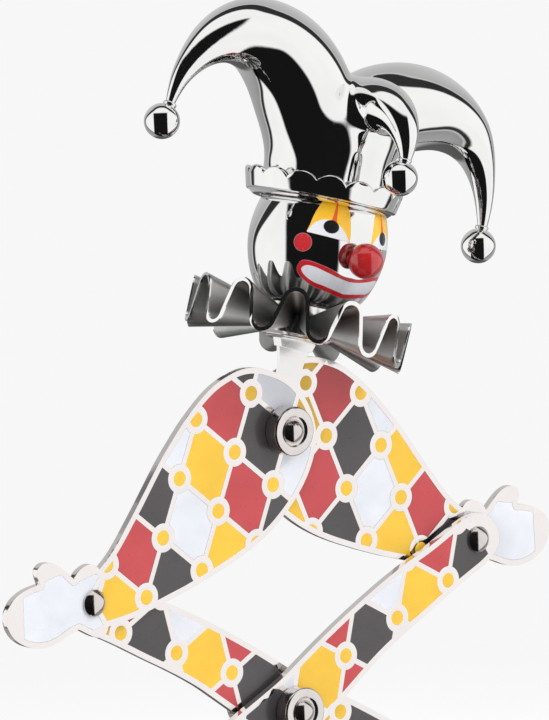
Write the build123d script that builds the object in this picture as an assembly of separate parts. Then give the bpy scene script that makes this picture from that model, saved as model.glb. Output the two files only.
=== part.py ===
"""Figure corkscrew: enamelled lazy-tongs bars between a clown's head and a bell collar.

x runs to the right, y to the back and z up. The worm's axis is the z axis and the bell's rim
lies at z = 0. The bars lie in two layers in front of the worm and pivot about pins along y.
All sizes are in millimetres.
"""
from build123d import *
import os
import math

# ---------------------------------------------------------------- driving dimensions
HALF_LINK = 56.0            # pivot to pivot on every bar
OPEN_ANGLE = 29.84          # bars from the horizontal, degrees
PLATE_T = 1.5
PLATE_GAP = 1.05            # room between the two plate layers
FRONT_FACE_Y = -11.0        # front face of the front layer
RUN = 0.05                  # running clearance, radial and axial
PIN_R = 1.25                # rivet shank
PIN_HOLE = PIN_R + RUN

ENAMEL_DEPTH = 0.35
RIM = 1.15                  # bare metal round every plate
HOLE_RIM = 1.0              # bare metal round a pin hole
HOLE_RIM_MIN_R = 2.3
RIB = 1.05                  # bare metal between two enamel cells
NODE_R = 2.85               # bare metal ring round a lattice dot
DOT_R = 1.47
NODE_CLEAR = 4.0            # a lattice node this near to a pin hole gets no dot
MIN_FILL = 0.12             # smaller slivers of enamel are left out, mm3
MIN_HAND_FILL = 0.3

BELL_R = 17.5
BELL_BORE_R = 15.0
LIP_R = 15.3                # lead-in recess at the mouth of the bell
LIP_H = 2.9
BELL_H = 30.0               # rim to the top of the roof
BELL_ROOF = 2.0
BASE_PIVOT_Z = 40.0
BUSH_R = 6.0
BUSH_BORE_R = 4.08
WORM_R = 4.0                # outside radius of the worm
WORM_WIRE_R = 1.45
WORM_PITCH = 9.0
WORM_TIP_Z = 2.0
WORM_TURNS_H = 50.0
SHANK_R = 1.9

# ---------------------------------------------------------------- layers and pivots
FRONT_Y0 = FRONT_FACE_Y                # front layer
FRONT_Y1 = FRONT_Y0 + PLATE_T
BACK_Y0 = FRONT_Y1 + PLATE_GAP         # back layer
BACK_Y1 = BACK_Y0 + PLATE_T
MID_Y = (FRONT_Y1 + BACK_Y0) / 2
BRACKET_Y0 = BACK_Y1 + 0.15            # bracket post behind the back layer
BRACKET_Y1 = BRACKET_Y0 + 2.0

HALF_W = HALF_LINK * math.cos(math.radians(OPEN_ANGLE))
HALF_H = HALF_LINK * math.sin(math.radians(OPEN_ANGLE))
# pivots as (x, z)
BASE = (0.0, BASE_PIVOT_Z)
MIDDLE = (0.0, BASE_PIVOT_Z + 2 * HALF_H)
TOP = (0.0, BASE_PIVOT_Z + 4 * HALF_H)
UPPER_LEFT = (-HALF_W, TOP[1] - HALF_H)
UPPER_RIGHT = (HALF_W, TOP[1] - HALF_H)
LOWER_LEFT = (-HALF_W, MIDDLE[1] - HALF_H)
LOWER_RIGHT = (HALF_W, MIDDLE[1] - HALF_H)

os.makedirs("parts", exist_ok=True)


# ---------------------------------------------------------------- shared helpers
def out(shape, name):
    """Label a piece and write it to its own file."""
    shape.label = name
    export_step(shape, "parts/" + name + ".step")


def group(solids):
    return Compound(children=list(solids))


def lone(shape):
    """The single solid of a shape, or the shape itself when it has several."""
    return shape.solids()[0] if len(shape.solids()) == 1 else shape


def largest(solids):
    return max(solids, key=lambda solid: solid.volume)


def solids_of(result):
    """Solids of a boolean's result, which may be nothing, one shape or a list."""
    if result is None:
        return []
    shapes = result if isinstance(result, (list, tuple)) else [result]
    return [solid for shape in shapes for solid in shape.solids() if solid.volume > 1e-6]


def cut(body, tool):
    return solids_of(body - tool)


def common(body, tool):
    return solids_of(body & tool)


def cyl_y(x, z, radius, y0, y1):
    """Cylinder along y between y0 and y1."""
    return Solid.make_cylinder(radius, y1 - y0, Plane((x, y0, z), z_dir=(0, 1, 0)))


def cyl_z(radius, height, z, x=0, y=0):
    """Upright cylinder standing at height z."""
    return Solid.make_cylinder(radius, height, Plane((x, y, z)))


def prism(points, y0, y1):
    """Polygon of (x, z) points, extruded from y0 back to y1."""
    face = Face(Wire.make_polygon([Vector(x, y0, z) for x, z in points], close=True))
    return extrude(face, amount=y1 - y0, dir=(0, 1, 0))


def cap_radius(half_chord, rise):
    """Radius of the circle or sphere whose cap has this half chord and rise."""
    return (half_chord ** 2 + rise ** 2) / (2 * rise)


def line_edges(points):
    """Straight edges through (r, z) points in the plane y = 0."""
    return [Edge.make_line((a[0], 0, a[1]), (b[0], 0, b[1])) for a, b in zip(points, points[1:])]


def turned(face):
    return revolve(face, axis=Axis.Z, revolution_arc=360)


# ---------------------------------------------------------------- plate outlines
# Points are (u, v): u from the inner pivot towards the outer one, v across the bar and upwards.
# An arm is a list of smooth runs that meet at corners; a link or a leg is one smooth loop.
ARM_RUNS = [
    [(51.4, 4.7), (49.9, 4.9), (45.2, 6.2), (40.7, 8.0), (36.4, 9.8), (31.9, 11.8), (27.8, 13.5),
     (23.5, 15.0), (19.7, 16.2), (15.8, 17.1), (12.1, 17.7), (8.8, 17.8), (5.7, 17.4), (2.9, 16.7),
     (0.4, 15.5), (-1.8, 13.8), (-3.8, 11.6), (-5.6, 9.1), (-6.8, 6.6), (-7.4, 4.2), (-7.7, 1.6),
     (-7.5, -1.2), (-6.7, -4.2), (-5.1, -6.9), (-2.7, -9.2), (0.4, -11.2), (4.4, -12.9),
     (8.6, -14.0), (12.3, -14.6), (15.6, -14.8), (18.7, -14.75), (21.8, -14.5), (24.9, -14.1),
     (27.9, -13.6), (30.8, -13.1), (33.7, -12.5), (36.6, -11.9), (39.4, -11.2), (42.2, -10.5),
     (45.0, -9.8), (47.8, -9.0), (50.5, -8.1), (53.1, -7.1), (55.6, -6.0)],
    [(55.6, -6.0), (56.5, -6.65), (57.6, -6.9), (58.8, -6.3), (59.9, -5.0), (61.0, -3.2),
     (61.7, -2.1)],
    [(61.7, -2.1), (63.6, -1.65), (66.1, -1.35), (69.3, -0.5), (72.0, 1.2), (74.1, 3.7),
     (75.2, 6.7), (74.7, 9.6), (72.7, 11.7), (69.5, 12.3), (66.2, 11.6), (64.4, 10.9)],
    [(64.4, 10.9), (64.1, 12.4), (63.4, 13.6), (62.2, 13.9), (60.8, 13.4), (59.3, 11.9),
     (58.2, 9.5), (57.3, 6.7)],
    [(57.3, 6.7), (56.0, 7.35), (54.4, 7.4), (52.8, 6.95), (51.8, 6.0), (51.4, 4.7)],
]
# upper and lower edge of a link's inner half; the outer half mirrors it
HALF_TOP = [(-5.3, -0.6), (-4.85, 1.8), (-3.6, 3.8), (-1.4, 5.1), (2.0, 5.8), (5.8, 6.1),
            (11.5, 6.5), (16.9, 7.2), (22.6, 7.7), (28.3, 7.95), (34.1, 8.05), (39.9, 8.0),
            (45.8, 7.8), (51.0, 7.5), (56.0, 7.3)]
HALF_LOW = [(-4.5, -3.3), (-2.6, -4.7), (0.4, -5.3), (4.0, -5.2), (9.1, -4.85), (13.6, -4.7),
            (18.8, -4.6), (23.9, -4.4), (29.0, -4.35), (33.6, -4.5), (38.6, -5.0), (43.3, -5.5),
            (48.3, -6.0), (52.0, -6.3), (56.0, -6.4)]
LINK_LOOP = (HALF_TOP + [(2 * HALF_LINK - u, v) for u, v in reversed(HALF_TOP[:-1])]
             + [(2 * HALF_LINK - u, v) for u, v in HALF_LOW[:-1]] + list(reversed(HALF_LOW)))
LEG_LOOP = [(-5.3, 0.0), (-4.6, 2.7), (-2.6, 4.7), (0.6, 5.4), (5.5, 5.6), (12.0, 6.1),
            (20.0, 6.7), (28.0, 6.9), (36.0, 6.7), (44.0, 6.1), (50.5, 5.6), (55.4, 5.4),
            (58.6, 4.7), (60.6, 2.7), (61.3, 0.0), (60.6, -2.7), (58.6, -4.6), (55.4, -5.3),
            (50.5, -5.1), (44.0, -4.8), (36.0, -4.5), (28.0, -4.4), (20.0, -4.5), (12.0, -4.8),
            (5.5, -5.1), (0.6, -5.3), (-2.6, -4.6), (-4.6, -2.7)]
# grey hand area of an arm, and that area widened by the bare rib that parts it from the sleeve
HAND_ZONE = [(52.3, 9.0), (52.4, 3.5), (55.2, 2.4), (56.3, 0.0), (56.4, -3.6), (56.6, -9.0),
             (80.0, -9.0), (80.0, 16.0), (52.3, 16.0)]
HAND_ZONE_WIDE = [(51.2, 16.5), (51.2, 2.9), (54.2, 1.8), (55.2, -0.2), (55.3, -3.4),
                  (55.3, -9.5), (81.0, -9.5), (81.0, 16.5)]

# Kinds of bar. lattice: first node and the two sides of a cell, in (u, v).
# span: first and last cell along each side. row_step: colour steps per cell along the second side.
BAR_SIDES = ((6.18, 10.36), (8.40, -8.66))
ARM = {"runs": ARM_RUNS, "lattice": ((2.8, 11.06), (9.52, -7.27), (-4.26, -11.12)),
       "span": (-3, 6, -3, 2), "row_step": -1, "hand": True}
LINK = {"runs": [LINK_LOOP], "lattice": ((10.69, -2.21), *BAR_SIDES),
        "span": (-4, 10, -4, 10), "row_step": 1, "hand": False}
LEG = {"runs": [LEG_LOOP], "lattice": ((8.2, -0.4), *BAR_SIDES),
       "span": (-4, 6, -4, 6), "row_step": 1, "hand": False}


def bar_frame(origin, target):
    """Map (u, v) to (x, z): u from origin towards target, v across it on the upper side."""
    dx, dz = target[0] - origin[0], target[1] - origin[1]
    up_sign = 1 if dx > 0 else -1
    length = math.hypot(dx, dz)
    dx, dz = dx / length, dz / length
    vx, vz = -dz * up_sign, dx * up_sign

    def to_xz(u, v):
        return (origin[0] + u * dx + v * vx, origin[1] + u * dz + v * vz)

    return to_xz


def outline_edges(runs, to_xz, y):
    edges = []
    for run in runs:
        points = [(x, y, z) for x, z in (to_xz(u, v) for u, v in run)]
        edges.append(Edge.make_spline(points, periodic=len(runs) == 1))
    return edges


def sample(edges, step):
    """Points along the edges, in the turning sense that gives a positive area."""
    points = []
    for edge in edges:
        count = max(4, int(edge.length / step))
        for i in range(count):
            point = edge.position_at(i / count)
            points.append((point.X, point.Z))
    area = sum(a[0] * b[1] - b[0] * a[1] for a, b in zip(points, points[1:] + points[:1]))
    return points if area > 0 else points[::-1]


def segment_distance(point, a, b):
    dx, dz = b[0] - a[0], b[1] - a[1]
    t = ((point[0] - a[0]) * dx + (point[1] - a[1]) * dz) / (dx * dx + dz * dz)
    t = min(1.0, max(0.0, t))
    return math.hypot(point[0] - a[0] - t * dx, point[1] - a[1] - t * dz)


def inset(polygon, width):
    """Inward parallel of a closed polygon from sample()."""
    min_step, fan_angle, slack = 0.12, 0.3, 0.004
    count = len(polygon)
    candidates = []
    for i in range(count):
        before, here, after = polygon[i - 1], polygon[i], polygon[(i + 1) % count]
        normal_in = math.atan2(here[0] - before[0], before[1] - here[1])
        normal_out = math.atan2(after[0] - here[0], here[1] - after[1])
        turn = (normal_out - normal_in + math.pi) % (2 * math.pi) - math.pi
        steps = max(1, int(abs(turn) / fan_angle))
        for k in range(steps + 1):
            angle = normal_in + turn * k / steps
            candidates.append((here[0] + width * math.cos(angle),
                               here[1] + width * math.sin(angle)))
    kept = []
    for point in candidates:
        nearest = min(segment_distance(point, polygon[i], polygon[(i + 1) % count])
                      for i in range(count))
        if nearest > width - slack:
            if not kept or math.dist(point, kept[-1]) > min_step:
                kept.append(point)
    if math.dist(kept[0], kept[-1]) < min_step:
        kept.pop()
    return kept


def shrunk_cell(corner, a, b, width):
    """Parallelogram with this corner and sides a and b, moved in by width on every side."""
    area = abs(a[0] * b[1] - a[1] * b[0])
    in_a, in_b = width * math.hypot(*b) / area, width * math.hypot(*a) / area
    shares = ((in_a, in_b), (1 - in_a, in_b), (1 - in_a, 1 - in_b), (in_a, 1 - in_b))
    return [(corner[0] + fa * a[0] + fb * b[0], corner[1] + fa * a[1] + fb * b[1])
            for fa, fb in shares]


def hole_distance(x, z, holes):
    return min(math.hypot(x - hole_x, z - hole_z) for (hole_x, hole_z), _ in holes)


def enamel_fills(kind, edges, to_xz, y0, holes, palette):
    """Enamel solids by colour, set into the front face of a plate."""
    y1, floor = y0 + PLATE_T, y0 + ENAMEL_DEPTH
    fills = {"red": [], "yellow": [], "dark": [], "grey": []}
    field = prism(inset(sample(edges, 0.8), RIM), y0, floor).solids()[0]
    for (x, z), radius in holes:
        bare_r = max(radius + HOLE_RIM, HOLE_RIM_MIN_R)
        field = cut(field, cyl_y(x, z, bare_r, y0 - 1, y1 + 1))[0]
    if kind["hand"]:
        hand = prism([to_xz(u, v) for u, v in HAND_ZONE], y0 - 1, y1 + 1)
        wide = prism([to_xz(u, v) for u, v in HAND_ZONE_WIDE], y0 - 1, y1 + 1)
        fills["grey"] += [s for s in common(field, hand) if s.volume > MIN_HAND_FILL]
        field = largest(cut(field, wide))

    first, side_a, side_b = kind["lattice"]
    i0, i1, j0, j1 = kind["span"]
    nodes = {(i, j): (first[0] + i * side_a[0] + j * side_b[0],
                      first[1] + i * side_a[1] + j * side_b[1])
             for i in range(i0, i1 + 2) for j in range(j0, j1 + 2)}
    box = field.bounding_box()
    for i in range(i0, i1 + 1):
        for j in range(j0, j1 + 1):
            cell = [to_xz(u, v) for u, v in shrunk_cell(nodes[i, j], side_a, side_b, RIB / 2)]
            cell_x, cell_z = zip(*cell)
            if max(cell_x) < box.min.X or min(cell_x) > box.max.X:
                continue
            if max(cell_z) < box.min.Z or min(cell_z) > box.max.Z:
                continue
            pieces = common(field, prism(cell, y0, floor))
            for corner in ((i, j), (i + 1, j), (i, j + 1), (i + 1, j + 1)):
                x, z = to_xz(*nodes[corner])
                if hole_distance(x, z, holes) > NODE_CLEAR:
                    ring = cyl_y(x, z, NODE_R, y0 - 1, y1)
                    pieces = [s for piece in pieces for s in cut(piece, ring)]
            colour = palette[(i + kind["row_step"] * j) % 4]
            fills[colour] += [s for s in pieces if s.volume > MIN_FILL]
    for u, v in nodes.values():
        x, z = to_xz(u, v)
        if x < box.min.X - 2 or x > box.max.X + 2 or z < box.min.Z - 2 or z > box.max.Z + 2:
            continue
        if hole_distance(x, z, holes) < NODE_CLEAR:
            continue
        dot = cyl_y(x, z, DOT_R, y0, floor)
        fills["yellow"] += [s for s in common(field, dot) if s.volume > MIN_FILL]
    return fills


def make_bar(name, kind, origin, target, y0, holes, palette):
    """Plate with pin holes and enamel pockets, and its enamel by colour."""
    to_xz = bar_frame(origin, target)
    edges = outline_edges(kind["runs"], to_xz, y0)
    plate = extrude(Face(Wire(edges)), amount=PLATE_T, dir=(0, 1, 0))
    fills = enamel_fills(kind, edges, to_xz, y0, holes, palette)
    for (x, z), radius in holes:
        plate = plate - cyl_y(x, z, radius, y0 - 1, y0 + PLATE_T + 1)
    plate = plate - [s for solids in fills.values() for s in solids]
    out(lone(plate), name)
    for colour, solids in fills.items():
        if solids:
            out(group(solids), "enamel_" + name + "_" + colour)


def end_holes(a, b):
    """Running holes at both ends of an arm or a leg."""
    return [(a, PIN_HOLE), (b, PIN_HOLE)]


def link_holes(a, b):
    """Tight holes at both ends of a link, a running one in the middle."""
    return [(a, PIN_R), (MIDDLE, PIN_HOLE), (b, PIN_R)]


FRONT_COLOURS = ["yellow", "grey", "dark", "red"]
BACK_COLOURS = ["dark", "grey", "yellow", "red"]
# name, kind, inner pivot, outer pivot, front face, hole rule, colours in turn
BARS = [
    ("arm_left", ARM, TOP, UPPER_LEFT, FRONT_Y0, end_holes, ["dark", "red", "yellow", "grey"]),
    ("arm_right", ARM, TOP, UPPER_RIGHT, BACK_Y0, end_holes, ["yellow", "red", "dark", "grey"]),
    ("link_front", LINK, UPPER_RIGHT, LOWER_LEFT, FRONT_Y0, link_holes, FRONT_COLOURS),
    ("link_back", LINK, UPPER_LEFT, LOWER_RIGHT, BACK_Y0, link_holes, BACK_COLOURS),
    ("leg_left", LEG, BASE, LOWER_LEFT, BACK_Y0, end_holes, BACK_COLOURS),
    ("leg_right", LEG, BASE, LOWER_RIGHT, FRONT_Y0, end_holes, FRONT_COLOURS),
]
for bar_name, kind, inner, outer, y0, hole_rule, palette in BARS:
    make_bar(bar_name, kind, inner, outer, y0, hole_rule(inner, outer), palette)

# ---------------------------------------------------------------- rivets, bosses, spacers
FRONT_SEAT_Y = FRONT_Y0 - RUN
REAR_SEAT_Y = BACK_Y1 + RUN
HEAD_R, HEAD_H = 2.65, 1.35            # domed front head, on a short disc
HEAD_DISC_T = 0.35
TAIL_R, TAIL_H = 2.1, 0.9              # domed tail of a side rivet
SHANK_BITE = 0.2                       # shank carried on into the heads
SPACER_R = 2.9
BOSS_R = 4.9                           # boss on the two centre pivots
BOSS_H = 3.4 - RUN
BOSS_DIMPLE = 0.45                     # depth of the recess under the rivet head
BOSS_HEAD_R, BOSS_HEAD_H = 2.45, 1.45
PIN_TAIL_Y = -2.4                      # end of the middle pin inside the worm hub
SINK = 0.8                             # countersink of the base pivot, deep and wide


def dome(x, z, y, radius, height, side):
    """Spherical cap standing on the plane at y; side is -1 to the front, 1 to the back."""
    ball_r = cap_radius(radius, height)
    ball = Solid.make_sphere(ball_r, Plane((x, y + side * (height - ball_r), z)))
    if side > 0:
        keep = cyl_y(x, z, radius + 1, y, y + height + 1)
    else:
        keep = cyl_y(x, z, radius + 1, y - height - 1, y)
    return (ball & keep).solids()[0]


def add_front_head(pin, x, z):
    head_y = FRONT_SEAT_Y - HEAD_DISC_T
    pin = pin + cyl_y(x, z, HEAD_R, head_y, FRONT_SEAT_Y)
    return pin + dome(x, z, head_y, HEAD_R, HEAD_H, -1)


def side_rivet(x, z):
    """Domed head in front, smaller domed tail behind, shank through both layers."""
    pin = cyl_y(x, z, PIN_R, FRONT_SEAT_Y - SHANK_BITE, REAR_SEAT_Y + SHANK_BITE)
    pin = add_front_head(pin, x, z) + dome(x, z, REAR_SEAT_Y, TAIL_R, TAIL_H, 1)
    return pin.solids()[0]


def spacer(x, z, y0, y1, bore_r=PIN_R):
    return (cyl_y(x, z, SPACER_R, y0, y1) - cyl_y(x, z, bore_r, y0 - 1, y1 + 1)).solids()[0]


def boss(x, z, y_face, side):
    """Turned boss standing off a plate, its outer face dimpled for the rivet head."""
    profile = [  # radius, distance from the plate
        (PIN_R, 0.0), (BOSS_R - 0.15, 0.0), (BOSS_R, 0.15), (BOSS_R, BOSS_H - 0.45),
        (BOSS_R - 0.13, BOSS_H - 0.13), (BOSS_R - 0.45, BOSS_H), (BOSS_HEAD_R + 0.75, BOSS_H),
        (BOSS_HEAD_R + 0.15, BOSS_H - BOSS_DIMPLE), (PIN_R, BOSS_H - BOSS_DIMPLE)]
    points = [Vector(x + r, y_face + side * t, z) for r, t in profile]
    face = Face(Wire.make_polygon(points, close=True))
    return revolve(face, axis=Axis((x, 0, z), (0, 1, 0)), revolution_arc=360).solids()[0]


front_ends, back_ends = (UPPER_RIGHT, LOWER_LEFT), (UPPER_LEFT, LOWER_RIGHT)
out(group([side_rivet(*p) for p in front_ends]), "rivets_link_front")
out(group([side_rivet(*p) for p in back_ends]), "rivets_link_back")
out(group([spacer(*p, FRONT_Y1, BACK_Y0 - RUN) for p in front_ends]
          + [spacer(*MIDDLE, FRONT_Y1, BACK_Y0 - RUN, PIN_HOLE)]), "spacers_link_front")
out(group([spacer(*p, FRONT_Y1 + RUN, BACK_Y0) for p in back_ends]), "spacers_link_back")
out(spacer(*BASE, FRONT_Y1 + RUN, BACK_Y0 - RUN), "spacer_base")

out(boss(*TOP, FRONT_SEAT_Y, -1), "boss_top_front")
out(boss(*TOP, REAR_SEAT_Y, 1), "boss_top_rear")
out(boss(*MIDDLE, FRONT_SEAT_Y, -1), "boss_mid_front")

# top pivot: a domed head in the dimple of each boss
front_dimple_y = FRONT_SEAT_Y - (BOSS_H - BOSS_DIMPLE)
rear_dimple_y = REAR_SEAT_Y + (BOSS_H - BOSS_DIMPLE)
top_pin = cyl_y(*TOP, PIN_R, front_dimple_y, rear_dimple_y)
top_pin = top_pin + dome(*TOP, front_dimple_y, BOSS_HEAD_R, BOSS_HEAD_H, -1)
top_pin = top_pin + dome(*TOP, rear_dimple_y, BOSS_HEAD_R, BOSS_HEAD_H, 1)
out(top_pin.solids()[0], "rivet_top")

# middle pivot: headed pin whose tail is held in the worm hub
middle_pin = cyl_y(*MIDDLE, PIN_R, front_dimple_y, PIN_TAIL_Y)
middle_pin = middle_pin + dome(*MIDDLE, front_dimple_y, BOSS_HEAD_R, BOSS_HEAD_H, -1)
out(middle_pin.solids()[0], "rivet_mid")

# base pivot: domed head in front, tail closed flush in a countersink behind the bracket
base_sink = Solid.make_cone(PIN_R, PIN_R + SINK, SINK,
                            Plane((BASE[0], BRACKET_Y1 - SINK, BASE[1]), z_dir=(0, 1, 0)))
base_pin = cyl_y(*BASE, PIN_R, FRONT_SEAT_Y - SHANK_BITE, BRACKET_Y1)
base_pin = add_front_head(base_pin, *BASE) + base_sink
out(base_pin.solids()[0], "rivet_base")

# ---------------------------------------------------------------- worm and its hub
HUB_R = 5.2
HUB_END_Y = 5.0
HUB_ROUND = 1.2
SHANK_TOP = MIDDLE[1] - 0.5
SHANK_LAP = 6.0             # the shank reaches this far down inside the coil
COIL_Z0 = WORM_TIP_Z + 4.0
POINT_L, POINT_TIP_R = 5.2, 0.12
POINT_TURN_IN = math.radians(40)

hub = cyl_y(*MIDDLE, HUB_R, BRACKET_Y0, HUB_END_Y)
hub = fillet(hub.edges().filter_by(GeomType.CIRCLE).sort_by(Axis.Y)[-1], HUB_ROUND)
hub = hub - cyl_y(*MIDDLE, PIN_R, BRACKET_Y0 - 1, PIN_TAIL_Y)
hub = hub - cyl_z(SHANK_R, 20, SHANK_TOP - 20)
out(hub.solids()[0], "worm_hub")

helix = Edge.make_helix(WORM_PITCH, WORM_TURNS_H, WORM_R - WORM_WIRE_R, center=(0, 0, COIL_Z0))
start = helix.position_at(0)
tangent = helix.tangent_at(0)
coil = Solid.sweep((Plane(start, z_dir=tangent) * Circle(WORM_WIRE_R)).face(), Wire([helix]))
# the ground point turns in towards the worm's axis, so that it stays within the coil's width
inward = (Vector(-start.X, -start.Y, 0).normalized()
          * math.hypot(tangent.X, tangent.Y) * math.sin(POINT_TURN_IN))
point_dir = (Vector(-tangent.X, -tangent.Y, 0) * math.cos(POINT_TURN_IN) + inward
             + Vector(0, 0, -tangent.Z))
point = Solid.make_cone(WORM_WIRE_R, POINT_TIP_R, POINT_L, Plane(start, z_dir=point_dir))
shank_z0 = COIL_Z0 + WORM_TURNS_H - SHANK_LAP
shank = cyl_z(SHANK_R, SHANK_TOP - shank_z0, shank_z0)
coil_end = Solid.make_sphere(WORM_WIRE_R, Plane(helix.position_at(1)))
out(lone(coil + point + shank + coil_end), "worm")

# ---------------------------------------------------------------- bell, bracket, bush
BELL_WALL_R = BELL_R - 0.6  # outside of the wall above the rim bead
BELL_ROUND = 5.0            # rounding between wall and roof
BORE_CHAMFER = 2.5
ROOF_UNDER = BELL_H - BELL_ROOF
FOOT_T = 1.8
FOOT_FRONT_Y = -15.0
FOOT_HALF_W = 7.5
FOOT_TRIM_R = BELL_R - 0.9  # the foot's front corners are cut back to this radius
POST_HALF_W = 5.4
POST_SHOULDER_HALF_W = 5.6
FIX_X, FIX_Y, FIX_R = 4.6, -12.0, 1.0  # the two rivets through foot and roof
FIX_HEAD_R, FIX_HEAD_H = 1.9, 0.9
BUSH_H = 6.5
RING_R, RING_H = 12.4, 1.6

# the profile runs from the lip round the outside to the roof, then back down the inside
round_r, round_z = BELL_WALL_R - BELL_ROUND, BELL_H - BELL_ROUND
diagonal = BELL_ROUND * math.cos(math.radians(45))
outside = [(LIP_R, 0.0), (BELL_R - 0.4, 0.0), (BELL_R, 0.4), (BELL_R, 2.6), (BELL_WALL_R, 3.2),
           (BELL_WALL_R, 24.5), (BELL_WALL_R, round_z)]
inside = [(round_r, BELL_H), (BUSH_R, BELL_H), (BUSH_R, ROOF_UNDER),
          (BELL_BORE_R - BORE_CHAMFER, ROOF_UNDER), (BELL_BORE_R, ROOF_UNDER - BORE_CHAMFER),
          (BELL_BORE_R, LIP_H), (LIP_R, LIP_H), (LIP_R, 0.0)]
shoulder = Edge.make_three_point_arc((BELL_WALL_R, 0, round_z),
                                     (round_r + diagonal, 0, round_z + diagonal),
                                     (round_r, 0, BELL_H))
bell = turned(Face(Wire(line_edges(outside) + [shoulder] + line_edges(inside))))

foot = Solid.make_box(2 * FOOT_HALF_W, BRACKET_Y1 - FOOT_FRONT_Y, FOOT_T,
                      Plane((-FOOT_HALF_W, FOOT_FRONT_Y, BELL_H)))
foot = foot & cyl_z(FOOT_TRIM_R, FOOT_T, BELL_H)
post = prism([(-FOOT_HALF_W, BELL_H), (FOOT_HALF_W, BELL_H), (FOOT_HALF_W, BELL_H + 2.2),
              (POST_SHOULDER_HALF_W, BELL_H + 5.0), (POST_HALF_W, BASE[1]),
              (-POST_HALF_W, BASE[1]), (-POST_SHOULDER_HALF_W, BELL_H + 5.0),
              (-FOOT_HALF_W, BELL_H + 2.2)], BRACKET_Y0, BRACKET_Y1)
post = post + cyl_y(*BASE, POST_HALF_W, BRACKET_Y0, BRACKET_Y1)
bracket = foot + post
bracket = bracket - cyl_y(*BASE, PIN_R, BRACKET_Y0 - 1, BRACKET_Y1 + 1)
bracket = bracket - base_sink

fixings = []
foot_top = BELL_H + FOOT_T
fix_ball_r = cap_radius(FIX_HEAD_R, FIX_HEAD_H)
for x in (-FIX_X, FIX_X):
    hole = cyl_z(FIX_R, 10, BELL_H - 6, x, FIX_Y)
    bracket = bracket - hole
    bell = bell - hole
    fixing = cyl_z(FIX_R, foot_top - ROOF_UNDER, ROOF_UNDER, x, FIX_Y)
    ball = Solid.make_sphere(fix_ball_r, Plane((x, FIX_Y, foot_top + FIX_HEAD_H - fix_ball_r)))
    fixing = fixing + (ball & cyl_z(3, 3, foot_top, x, FIX_Y))
    fixings.append(fixing.solids()[0])
out(bracket.solids()[0], "bell_bracket")
out(group(fixings), "bracket_rivets")
out(bell.solids()[0], "bell_collar")

bush = cyl_z(BUSH_R, BUSH_H, BELL_H - BUSH_H) - cyl_z(BUSH_BORE_R, 20, BELL_H - 15)
out(bush.solids()[0], "worm_bush")
# ring round the bush, against the underside of the roof
seat_ring = cyl_z(RING_R, RING_H, ROOF_UNDER - RING_H) - cyl_z(BUSH_R, 20, 15)
out(seat_ring.solids()[0], "seat_ring")

# ---------------------------------------------------------------- head group
# Built upright with the top pivot at the origin, then swung to the right and lifted into place.
HEAD_LEAN = 16.5            # degrees
HEAD_SHIFT = 1.15           # the head sits this far to the right of the neck's axis
HEAD_BASE = 24.6
HEAD_TOP = 46.0
HEAD_PLACE = Pos(TOP[0], MID_Y, TOP[1]) * Rot(0, HEAD_LEAN, 0)


def out_head(shape, name):
    out(HEAD_PLACE * shape, name)


def turned_polygon(points):
    """Revolve a polygon of (r, z) about the head axis."""
    return turned(Face(Wire.make_polygon([Vector(r, 0, z) for r, z in points], close=True)))


def turned_spline(curve, tail):
    """Revolve a smooth (r, z) run closed by straight lines through the tail points."""
    edges = [Edge.make_spline([(r, 0, z) for r, z in curve])]
    return turned(Face(Wire(edges + line_edges([curve[-1]] + tail + [curve[0]]))))


# ---- neck: flat tongue between the plates, then a cone and a round stem
TONGUE_T = PLATE_GAP - 2 * RUN
TONGUE_EYE_R = 3.9
NECK_STEP = 16.0
NECK_STEP_T = 2.4
FLANGE_Z = 17.6
FLANGE_TOP = 18.8
FLANGE_R0, FLANGE_R1 = 5.2, 7.6
RUFF_IN_R = 6.7
STEM_R = RUFF_IN_R - 0.25
STEM_Z = FLANGE_Z + 0.5


def slab(points, thickness):
    """Upright slab of (x, z) points, centred on y = 0."""
    face = Face(Wire.make_polygon([Vector(x, -thickness / 2, z) for x, z in points], close=True))
    return extrude(face, amount=thickness, dir=(0, 1, 0))


neck = slab([(-2.9, 1.5), (-2.5, 9.0), (-3.0, 13.0), (-4.1, NECK_STEP + 1),
             (4.1, NECK_STEP + 1), (3.0, 13.0), (2.5, 9.0), (2.9, 1.5)], TONGUE_T)
neck = neck + cyl_y(0, 0, TONGUE_EYE_R, -TONGUE_T / 2, TONGUE_T / 2)
neck = neck + slab([(-3.85, NECK_STEP), (3.85, NECK_STEP), (4.6, FLANGE_Z + 0.2),
                    (-4.6, FLANGE_Z + 0.2)], NECK_STEP_T)
neck = neck - cyl_y(0, 0, PIN_HOLE, -5, 5)
neck = neck + Solid.make_cone(FLANGE_R0, FLANGE_R1, FLANGE_TOP - FLANGE_Z,
                              Plane((0, 0, FLANGE_Z)))
neck = neck + cyl_z(STEM_R, HEAD_BASE - STEM_Z, STEM_Z)
out_head(neck.solids()[0], "neck")

# ---- ruff: a pleated sheet of flat flanks joined by rounded crests. Every flank and crest runs
# straight from one point on the neck's axis, so the pleats open out towards the rim.
RUFF_R = 21.9
RUFF_Z = 21.2
RUFF_T = 0.8
RUFF_TILT = 3.0             # to the right, degrees
RUFF_TURN = 17.3            # turn of the pleats round the neck, degrees
PLEATS = 12
HALF_PLEAT = math.pi / PLEATS / 2
STEEP = math.radians(75.8)  # slope of a pleat's flank
PEAK = math.radians(11.6)   # rise of a crest from the level


def crest_angles():
    """Lift of a crest's own axis above the level, and the half angle of its cone, in radians."""
    low, high = 0.0, PEAK
    for _ in range(60):
        lift = (low + high) / 2
        cone = math.asin(math.sin(HALF_PLEAT) * math.sin(STEEP) * math.cos(lift)
                         - math.cos(STEEP) * math.sin(lift))
        if lift + cone < PEAK:
            low = lift
        else:
            high = lift
    return lift, cone


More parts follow.
